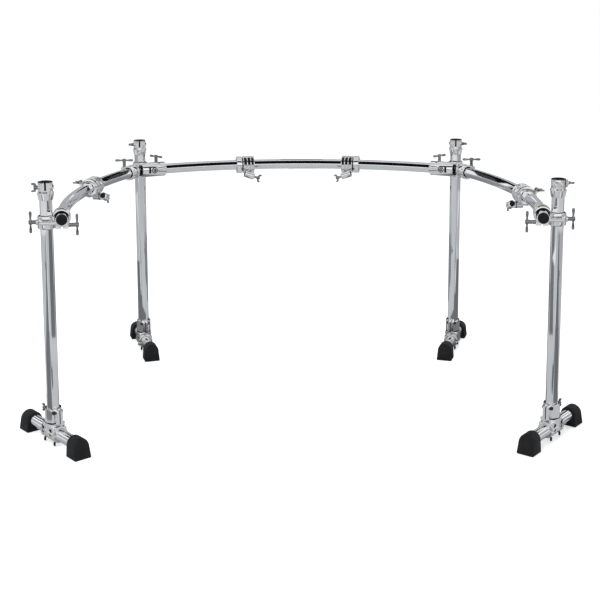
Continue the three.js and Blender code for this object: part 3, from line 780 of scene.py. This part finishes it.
def holder_forms():
    """The casting on a post's top: a skirt over the pipe and a split cup with ears."""
    section = wall(CUP_BORE, CUP_RADIUS, CUP_FOOT, HOLDER_HEIGHT - 1.6, ease=1.2)
    cup = part_turned(section, CUP_GAP, 360 - 2 * CUP_GAP)
    ears = [block(*box) for box in EAR_BOXES]
    bosses = [at_holder_bolt(turned(HOLDER_BOSS, steps=28), turn) for turn in (90, -90)]
    nut = at_holder_bolt(turned(HOLDER_NUT, steps=6), -90)
    return merged(turned(HOLDER_SKIRT), cup, *ears, *bosses, nut)


def holder_insert():
    """The black sleeve in the cup, with a rim over its edge."""
    return part_turned(HOLDER_RIM, INSERT_GAP, 360 - 2 * INSERT_GAP)


def make_leg(leg):
    """One leg, its clamp and foot, and the holder on its post."""
    ground = place_of(POSTS, leg, FLOOR_DROP)
    lower, foot, key = leg + "_leg", leg + "_foot", leg + "_holder_key"
    pipe = straight_pipe(POST_FOOT, POST_TOP)
    piece(leg + "_post_pipe", pipe, ground, PIPE, lower, leg + "_post")
    piece(leg + "_foot_pipe", foot_tube_form(), ground, PIPE, foot, leg + "_foot_tube")
    piece(leg + "_inner_rubber", foot_form(), ground, RUBBER, foot, leg + "_inner_foot", sharp=60)
    outer = tipped(foot_form(), "Z", 180)
    piece(leg + "_outer_rubber", outer, ground, RUBBER, foot, leg + "_outer_foot", sharp=60)
    clamp = leg_clamp_forms()
    piece(leg + "_clamp_casting", clamp, ground, CAST, lower, leg + "_leg_clamp", bevel=0.8)
    screw = moved(tipped(wing_form(thread=26, shank=24, span=24.0), "Y", -90), z=HAND_SCREW_HEIGHT)
    piece(leg + "_hand_screw", screw, ground, HANDLE, lower, bevel=0.8)
    piece(leg + "_clamp_screws", leg_screw_forms(), ground, SCREW, lower)
    piece(leg + "_clamp_shadow", leg_shadow_forms(), ground, HOLLOW, lower)
    x, y, _ = POSTS[leg]
    height = RACK_HEIGHT - HOLDER_HEIGHT + FLOOR_DROP
    top = stand(x, y, height, HOLDER_HEADINGS[leg], leg.startswith("right"))
    piece(leg + "_holder_casting", holder_forms(), top, CAST, lower, leg + "_stand_holder", bevel=0.5)
    piece(leg + "_holder_insert", holder_insert(), top, PLASTIC_AND_SHADE, lower)
    # The bolt's real thread across the cup's slit, drawn in the dark paint of painted shade
    thread = at_holder_bolt(rod(4.5, -5, 5, ease=0.3, steps=24), 90)
    piece(leg + "_holder_thread", thread, top, HOLLOW, key)
    wing = wing_form(thread=42.3, shank=0, span=27.0, depth=18.0)
    wing = tipped(wing, "Z", HOLDER_WING_TURNS.get(leg, 0))
    wing = moved(at_holder_bolt(wing, 90), y=HOLDER_WING_START)
    piece(leg + "_holder_wing", wing, top, HANDLE, key, leg + "_holder_bolt", bevel=0.8)


# Bars
def plug_form():
    """A plug in a bar's end, its disc outside."""
    inside = hexagon(BAR_ACROSS - 2 * PLUG_INSET, BAR_CORNER - PLUG_INSET, math.pi / 6)
    plug = merged(slab(inside, -0.5, 16), turned(PLUG_DISC))
    bmesh.ops.transform(plug, matrix=LAID_ALONG, verts=plug.verts)
    return plug


def make_side_bar(side):
    wing = side + "_wing"
    pipe = bent_pipe(SIDE_RADIUS, SIDE_LENGTH, SIDE_STEPS)
    piece(side + "_bar_pipe", pipe, place_of(SIDE_BARS, side), PIPE, wing, side + "_bar")
    place = place_of(PLUGS, side)
    piece(side + "_plug_cap", plug_form(), place, PLASTIC_AND_SHADE, wing, side + "_bar_plug", bevel=0.6)


# Clamps on the bars
def ring_form(length):
    """A ring about X with a slit on +Y."""
    half = length / 2
    section = wall(BAR_REACH + RING_CLEARANCE, RING_RADIUS, -half, half, RING_EASE)
    return tipped(split_turned(section, SLIT_HALF, RING_RADIUS), "Y", 90)


def lug_forms():
    """The two lugs of a ring, above and below its slit."""
    wide = LUG_WIDTH_HALF
    upper = block((-wide, LUG_START, SLIT_HALF), (wide, LUG_END, LUG_HALF))
    lower = block((-wide, LUG_START, -LUG_HALF), (wide, LUG_END, -SLIT_HALF))
    return merged(upper, lower)


def band_form(low, high):
    """A band round the post beside the bar."""
    section = wall(POST_REACH + BAND_CLEARANCE, BAND_RADIUS, low, high, RING_EASE)
    return moved(turned(section, steps=56), y=POST_TO_BAR)


def bush_form(reach, low, high):
    """A thin black bushing that shows at both ends of a clamp."""
    inner, outer = reach + BUSH_BORE, reach + BUSH_WALL
    foot, top = low - BUSH_SHOWS, high + BUSH_SHOWS
    return turned([(inner, foot), (outer, foot), (outer, top), (inner, top)], steps=56)


def on_sleeve(form, along):
    return on_arc(form, REAR_RADIUS, along)


def make_upright_tee(body, places, side, node):
    """A T bolt that stands in a ring's lugs."""
    place = place_of(places, side, BAR_HEIGHT + FLOOR_DROP - LUG_HALF)
    tee = tee_form(TEE_THREAD, TEE_REACH)
    piece(body + "_bolt", tee, place, HANDLE, body, node)


def make_corner_clamp(side):
    """The sleeve on the rear bar, the band round the rear post and the hinge's outer knuckles."""
    corner = place_of(CORNERS, side)
    pin = rod(HINGE_PIN_RADIUS, -HINGE_PIN_HALF, HINGE_PIN_HALF, ease=1, steps=28)
    knuckles = []
    for foot in KNUCKLE_FEET:
        top = foot + KNUCKLE_HEIGHT
        knuckles.append(moved(rod(KNUCKLE_RADIUS, foot, top, ease=1.2, steps=40), x=-HINGE_OUT))
        knuckles.append(block((-HINGE_OUT, -HINGE_WEB_HALF, foot), (-8, HINGE_WEB_HALF, top)))
    casting = merged(
        on_sleeve(ring_form(SLEEVE_LENGTH), SLEEVE_MIDDLE),
        band_form(-BAND_HALF, BAND_HALF),
        on_sleeve(lug_forms(), SLEEVE_LUGS),
        moved(pin, x=-HINGE_OUT),
        *knuckles,
    )
    body, node = "rear_frame", side + "_corner_clamp"
    piece(side + "_corner_casting", casting, corner, CAST, body, node, bevel=0.8)
    post_bush = moved(bush_form(POST_REACH, -BAND_HALF, BAND_HALF), y=POST_TO_BAR)
    bar_bush = tipped(bush_form(BAR_REACH, -SLEEVE_LENGTH / 2, SLEEVE_LENGTH / 2), "Y", 90)
    bush = merged(post_bush, on_sleeve(bar_bush, SLEEVE_MIDDLE))
    piece(side + "_corner_bush", bush, corner, PLASTIC_AND_SHADE, body)
    # Painted shade: a dark block in the sleeve's slot and a dark ring round the key's boss
    slot = on_sleeve(block(*SLOT_BOX), SLEEVE_SLOT)
    key_shade = on_sleeve(tipped(turned(KEY_SHADE_RING, steps=32), "X", 90), SLEEVE_KEY)
    piece(side + "_corner_shade", merged(slot, key_shade), corner, HOLLOW, body)
    boss = on_sleeve(tipped(turned(KEY_COLLAR, steps=32), "X", 90), SLEEVE_KEY)
    piece(side + "_corner_boss", boss, corner, CAST, body)
    keys = []
    for height in (-HINGE_KEY_HEIGHT, HINGE_KEY_HEIGHT):
        key = tipped(key_screw(*HINGE_KEY), "X", 90)
        keys.append(moved(key, x=-HINGE_KEY_OUT, z=height))
    keys.append(on_sleeve(tipped(key_screw(*CORNER_KEY), "X", 90), SLEEVE_KEY))
    piece(side + "_corner_keys", merged(*keys), corner, SCREW, body)
    make_upright_tee(side + "_corner_tee", CORNER_TEES, side, side + "_corner_clamp_bolt")


def make_side_clamp(side):
    """The ring on the side bar's rear end, with the hinge's middle knuckle."""
    wing = side + "_wing"
    ring = place_of(SIDE_RINGS, side)
    bush = tipped(bush_form(BAR_REACH, *SIDE_BUSH), "Y", 90)
    piece(side + "_side_bush", bush, ring, PLASTIC_AND_SHADE, wing)
    half = SIDE_ARM_HALF
    casting = merged(
        ring_form(SIDE_RING_LENGTH),
        lug_forms(),
        block((SIDE_ARM_START, -HINGE_WEB_HALF, -half), (SIDE_ARM_END, HINGE_WEB_HALF, half)),
        moved(rod(KNUCKLE_RADIUS, -half, half, ease=1.2, steps=40), x=SIDE_ARM_END),
        tipped(turned(SIDE_RING_END), "Y", 90),
    )
    piece(side + "_side_casting", casting, ring, CAST, wing, side + "_side_clamp", bevel=0.8)
    make_upright_tee(side + "_side_tee", SIDE_TEES, side, side + "_side_clamp_bolt")


def front_clamp_forms():
    """A ring round the side bar, slit underneath, and a band round the front post."""
    pin = moved(tipped(rod(5.5, -19, 19, ease=1, steps=24), "Y", 90), z=RING_RADIUS)
    boss = tipped(rod(9, 0, BAND_RADIUS + 4, ease=1), "X", -90)
    rib = tipped(rod(5.6, 14, 63, ease=1.5, steps=28), "X", -90)
    return merged(
        tipped(ring_form(FRONT_RING_LENGTH), "X", -90),
        tipped(lug_forms(), "X", -90),
        band_form(FRONT_BAND_LOW, FRONT_BAND_HIGH),
        moved(boss, y=POST_TO_BAR, z=FRONT_BOLT_HEIGHT),
        tipped(pin, "X", 45),
        block(*FRONT_NECK_BOX),
        moved(rib, x=-BAND_RADIUS - 0.5, z=FRONT_BOLT_HEIGHT),
    )


def make_front_clamp(side):
    wing = side + "_wing"
    front = place_of(FRONT_RINGS, side)
    casting = front_clamp_forms()
    piece(side + "_front_casting", casting, front, CAST, wing, side + "_front_clamp", bevel=0.8)
    post_bush = moved(bush_form(POST_REACH, FRONT_BAND_LOW, FRONT_BAND_HIGH), y=POST_TO_BAR)
    bar_bush = tipped(bush_form(BAR_REACH, *FRONT_BUSH), "Y", 90)
    piece(side + "_front_bush", merged(post_bush, bar_bush), front, PLASTIC_AND_SHADE, wing)
    # Painted shade in the ring's throat, in the dark shade paint
    throat = tipped(part_turned(RING_THROAT, THROAT_START, THROAT_SWEEP), "Y", -90)
    piece(side + "_ring_throat", throat, front, HOLLOW, wing)
    tee = tipped(tee_form(TEE_THREAD, TEE_REACH), "X", 90)
    tee = moved(tee, y=LUG_HALF, z=-LUG_REACH)
    body = side + "_ring_tee"
    piece(body + "_bolt", tee, front, HANDLE, body, side + "_front_ring_bolt")
    tee = tipped(tee_form(BAND_TEE_THREAD, BAND_TEE_REACH), "X", -90)
    tee = moved(tee, y=BAND_TEE_START, z=FRONT_BOLT_HEIGHT)
    body = side + "_band_tee"
    piece(body + "_bolt", tee, front, HANDLE, body, side + "_front_band_bolt")


# Accessory clamps
def accessory_form():
    """A collar and a jaw about the bar, the jaw with three windows between its ribs."""
    collar = wall(JAW_BORE, COLLAR_RADIUS, *COLLAR_SPAN)
    neck = wall(JAW_BORE, NECK_RADIUS, *NECK_SPAN, ease=0.4)
    parts = [split_turned(section, SLIT_HALF, JAW_RADIUS) for section in (collar, neck)]
    gap = math.degrees(SLIT_HALF / JAW_RADIUS)
    window_end = WINDOW_START + WINDOW_SWEEP
    for low, high, ribbed in JAW_BANDS:
        section = wall(JAW_BORE, JAW_RADIUS, low, high, ease=0.3)
        if ribbed:
            parts.append(split_turned(section, SLIT_HALF, JAW_RADIUS))
        else:
            floor = wall(JAW_BORE, JAW_RADIUS - WINDOW_DEPTH, low, high, ease=0.3)
            parts.append(split_turned(floor, SLIT_HALF, JAW_RADIUS))
            parts.append(part_turned(section, 90 + gap, WINDOW_START - 90 - gap))
            parts.append(part_turned(section, window_end, 450 - gap - window_end))
    body = tipped(merged(*parts), "Y", 90)
    upper = block((*JAW_LUG_NEAR, SLIT_HALF), (*JAW_LUG_FAR, JAW_LUG_HALF))
    lower = block((*JAW_LUG_NEAR, -JAW_LUG_HALF), (*JAW_LUG_FAR, -SLIT_HALF))
    boss = tipped(rod(11, 0, 24, ease=1, steps=36), "X", 90)
    return merged(body, upper, lower, moved(boss, x=JAW_MIDDLE, z=-SWIVEL_DROP))


def receiver_form():
    """The small barrel that holds a rod, on its swivel."""
    barrel = moved(tipped(turned(BARREL, steps=36), "Y", 90), z=BARREL_HEIGHT)
    return merged(barrel, turned(BARREL_SEAT, steps=36))


def make_accessory(name):
    body = name + "_accessory"
    head, key = body + "_head", body + "_key"
    place = place_of(ACCESSORIES, name)
    piece(body + "_casting", accessory_form(), place, CAST, body, body + "_clamp", bevel=0.5)
    swivel = (
        place
        @ Matrix.Translation((JAW_MIDDLE, HEAD_OUT, -SWIVEL_DROP))
        @ Matrix.Rotation(math.pi / 2, 4, "X")
        @ Matrix.Rotation(math.radians(HEAD_TURN), 4, "Z")
    )
    barrel = receiver_form()
    piece(body + "_barrel", barrel, swivel, CAST, head, body + "_receiver", bevel=0.4)
    bolt = tipped(tipped(wing_form(thread=6.9, shank=10), "Z", 90), "Y", 90)
    bolt = moved(bolt, x=RECEIVER_WING_START, z=BARREL_HEIGHT)
    piece(body + "_wing", bolt, swivel, HANDLE, key, body + "_wing_bolt", bevel=0.8)
    wing = tipped(wing_form(thread=6, shank=4, depth=20), "X", -90)
    knob = tipped(turned(KNOB, steps=28), "X", -90)
    outer = merged(
        moved(wing, x=JAW_MIDDLE, y=JAW_RADIUS + 4, z=OUTER_WING_HEIGHT),
        moved(knob, x=JAW_MIDDLE, y=JAW_RADIUS + 7, z=OUTER_WING_HEIGHT),
    )
    piece(body + "_outer_wing", outer, place, HANDLE, body, bevel=0.8)
    # Painted shade in black paint: sheets on the floors of the jaw's windows, a ring in its neck and a
    # disc in the gap between the boss and the barrel
    window_shade = part_turned(JAW_WINDOW_SHADE, WINDOW_START, WINDOW_SWEEP)
    accessory_shades = tipped(merged(window_shade, turned(NECK_SHADE)), "Y", 90)
    swivel_gap_shade = tipped(rod(12.2, 22.4, 24, ease=0.3, steps=36), "X", 90)
    swivel_gap_shade = moved(swivel_gap_shade, x=JAW_MIDDLE, z=-SWIVEL_DROP)
    piece(body + "_painted_shade", merged(accessory_shades, swivel_gap_shade), place, PLASTIC_AND_SHADE, body)
    cap = moved(tipped(turned(BARREL_CAP, steps=28), "Y", 90), z=BARREL_HEIGHT)
    piece(body + "_barrel_cap", cap, swivel, PLASTIC_AND_SHADE, head)


for leg in POSTS:
    make_leg(leg)
rear_x, rear_y, rear_heading = REAR_BAR
rear_place = stand(rear_x, rear_y, BAR_HEIGHT + FLOOR_DROP, rear_heading)
rear_pipe = bent_pipe(REAR_RADIUS, REAR_LENGTH, REAR_STEPS)
piece("rear_bar_pipe", rear_pipe, rear_place, PIPE, "rear_frame", "rear_bar")
for side in ("left", "right"):
    make_side_bar(side)
for side in ("left", "right"):
    make_corner_clamp(side)
    make_side_clamp(side)
    make_front_clamp(side)
for name in ACCESSORIES:
    make_accessory(name)


# Stage, light and camera, in metres
FLOOR_SIZE = 14
FLOOR_GLOW = 0.5


def plain(name, colour, roughness=0.9):
    """A matt paint with no shine."""
    material, _, _, surface = shader(name)
    surface.inputs["Base Color"].default_value = (*colour, 1)
    surface.inputs["Roughness"].default_value = roughness
    surface.inputs["Specular IOR Level"].default_value = 0.0
    return material


def seen_white(material):
    """A stage surface that the camera sees as white, with the object's shadow kept."""
    nodes, links = material.node_tree.nodes, material.node_tree.links
    surface = nodes["Principled BSDF"]
    output = nodes["Material Output"]
    light_path = nodes.new("ShaderNodeLightPath")
    glow = nodes.new("ShaderNodeEmission")
    glow.inputs["Strength"].default_value = FLOOR_GLOW
    mix = nodes.new("ShaderNodeAddShader")
    links.new(surface.outputs["BSDF"], mix.inputs[0])
    links.new(glow.outputs["Emission"], mix.inputs[1])
    choose = nodes.new("ShaderNodeMixShader")
    links.new(light_path.outputs["Is Camera Ray"], choose.inputs["Fac"])
    links.new(surface.outputs["BSDF"], choose.inputs[1])
    links.new(mix.outputs["Shader"], choose.inputs[2])
    links.new(choose.outputs["Shader"], output.inputs["Surface"])


def card(name, centre, width, height, heading, tilt, material, camera=False):
    """A flat card on the stage, in metres."""
    form = bmesh.new()
    bmesh.ops.create_grid(form, x_segments=1, y_segments=1, size=0.5)
    bmesh.ops.scale(form, verts=form.verts, vec=(width, height, 1))
    place = (
        Matrix.Translation(centre)
        @ Matrix.Rotation(math.radians(heading), 4, "Z")
        @ Matrix.Rotation(math.radians(tilt), 4, "X")
    )
    bmesh.ops.transform(form, matrix=place, verts=form.verts)
    made = linked(name, form, material)
    made.visible_camera = camera
    made.visible_shadow = camera
    return made


floor_paint = plain("floor_paint", (0.92, 0.92, 0.92), roughness=0.6)
seen_white(floor_paint)
card("floor", (0, 0, -0.0005), FLOOR_SIZE, FLOOR_SIZE, 0, 0, floor_paint, True)
black_card = plain("black_card", (0.008, 0.008, 0.009))
white_card = plain("white_card", (0.9, 0.9, 0.91))
wall_card = plain("wall_card", (0.62, 0.63, 0.66))
pale_card = plain("pale_card", (0.56, 0.575, 0.585))
grey_card = plain("grey_card", (0.27, 0.275, 0.29))
dusk_card = plain("dusk_card", (0.06, 0.062, 0.066))
deep_card = plain("deep_card", (0.17, 0.175, 0.185))

# Name, centre, width, height, heading, tilt and paint of the cards that only reflections show
CARDS = (
    ("dark_front", (0, -2.95, 5.2), 9.0, 2.5, 0, 38, black_card),
    ("front_wall", (0, -6.2, 0.6), 13.0, 1.2, 0, 90, grey_card),
    ("back_wall", (0, 6.2, 1.1), 13.0, 2.2, 0, 90, wall_card),
    ("dark_back", (0, 4.6, 3.4), 7.0, 2.8, 0, 90, black_card),
    ("left_wall", (-6.2, 0, 1.4), 13.0, 1.9, 90, 90, wall_card),
    ("right_wall", (6.2, 0, 1.4), 13.0, 1.9, 90, 90, wall_card),
    ("dark_left", (-4.6, 0, 3.6), 7.0, 1.4, 90, 90, black_card),
    ("dark_right", (4.6, 0, 3.6), 7.0, 1.4, 90, 90, black_card),
    ("ceiling", (0, 1.2, 5.4), 9.0, 4.0, 0, 0, white_card),
    ("floor_mat", (0, 0, 0.001), 13.0, 13.0, 0, 0, pale_card),
    ("left_mat", (-1.2, 0.3, 0.002), 1.7, 1.3, 0, 0, deep_card),
    ("right_mat", (1.2, 0.3, 0.002), 1.7, 1.3, 0, 0, deep_card),
    ("rear_bar_flag", (0, 1.4, 0.86), 0.19, 0.3, 0, 90, black_card),
    ("rear_bar_mat", (0, 0.95, 0.45), 0.1, 0.7, 0, 0, black_card),
    ("back_mat", (0, 1.6, 0.003), 2.2, 1.2, 0, 0, grey_card),
    ("left_shade", (-2.95, 4.5, 3.0), 1.1, 1.9, 0, 90, dusk_card),
    ("right_shade", (2.95, 4.5, 3.0), 1.1, 1.9, 0, 90, dusk_card),
    ("left_glow", (-1.72, -2.56, 0.004), 2.2, 0.4, 65, 0, white_card),
    ("right_glow", (1.72, -2.56, 0.004), 2.2, 0.4, -65, 0, white_card),
    ("front_snow", (0, -4.7, 0.0025), 6.2, 2.2, 0, 0, white_card),
    ("left_snow", (-4.1, -3.6, 0.003), 3.0, 2.2, 38, 0, white_card),
    ("right_snow", (4.1, -3.6, 0.003), 3.0, 2.2, -38, 0, white_card),
    ("left_edge", (-2.6, 0.1, 0.004), 3.0, 0.5, -18, 0, white_card),
    ("right_edge", (2.6, 0.1, 0.004), 3.0, 0.5, 18, 0, white_card),
    ("left_strip", (-2.05, -1.75, 0.002), 3.2, 0.3, 44, 0, deep_card),
    ("right_strip", (2.3, -1.6, 0.002), 3.2, 0.22, -37, 0, deep_card),
    ("left_cross", (1.4, -1.3, 0.003), 2.4, 0.3, -21, 0, deep_card),
    ("right_cross", (-1.4, -1.5, 0.003), 2.6, 0.22, 27, 0, deep_card),
)
for name, centre, width, height, heading, tilt, paint in CARDS:
    card(name, centre, width, height, heading, tilt, paint).visible_diffuse = False


def either(nodes, links, first, second):
    """The larger of two tests of a ray."""
    larger = nodes.new("ShaderNodeMath")
    larger.operation = "MAXIMUM"
    links.new(first, larger.inputs[0])
    links.new(second, larger.inputs[1])
    return larger.outputs["Value"]


WORLD_LIGHT, WORLD_SEEN = 0.55, 1.0
world = bpy.data.worlds.new("studio")
bpy.context.scene.world = world
world.use_nodes = True
nodes, links = world.node_tree.nodes, world.node_tree.links
rays = nodes.new("ShaderNodeLightPath").outputs
seen = either(nodes, links, rays["Is Camera Ray"], rays["Is Glossy Ray"])
seen = either(nodes, links, seen, rays["Is Transmission Ray"])
strength = spread(nodes, links, seen, WORLD_LIGHT, WORLD_SEEN)
links.new(strength, nodes["Background"].inputs["Strength"])
nodes["Background"].inputs["Color"].default_value = (1, 1, 1, 1)


def lamp(name, spot, target, size, watts):
    data = bpy.data.lights.new(name, "AREA")
    data.shape = "SQUARE"
    data.size = size
    data.energy = watts
    made = bpy.data.objects.new(name, data)
    made.location = spot
    made.rotation_euler = (Vector(target) - Vector(spot)).to_track_quat("-Z", "Y").to_euler()
    made.visible_glossy = False
    bpy.context.scene.collection.objects.link(made)


lamp("key_light", spot=(-2.2, -3.0, 4.2), target=(0, 0, 0.4), size=2.5, watts=90)
lamp("top_light", spot=(0.8, 0.8, 4.5), target=(0, 0, 0), size=3.0, watts=70)

CAMERA_SPOT = (-0.0055, -3.78775, 1.355)
CAMERA_PITCH, CAMERA_ROLL = math.radians(81.51), math.radians(-0.15)
lens = bpy.data.cameras.new("camera")
lens.lens = 69
lens.sensor_width = 36
lens.shift_y = -0.233
camera = bpy.data.objects.new("camera", lens)
camera.location = CAMERA_SPOT
pitch = Matrix.Rotation(CAMERA_PITCH, 3, "X")
camera.rotation_euler = (pitch @ Matrix.Rotation(CAMERA_ROLL, 3, "Z")).to_euler()
bpy.context.scene.collection.objects.link(camera)
bpy.context.scene.camera = camera
bpy.context.scene.view_settings.view_transform = "Standard"
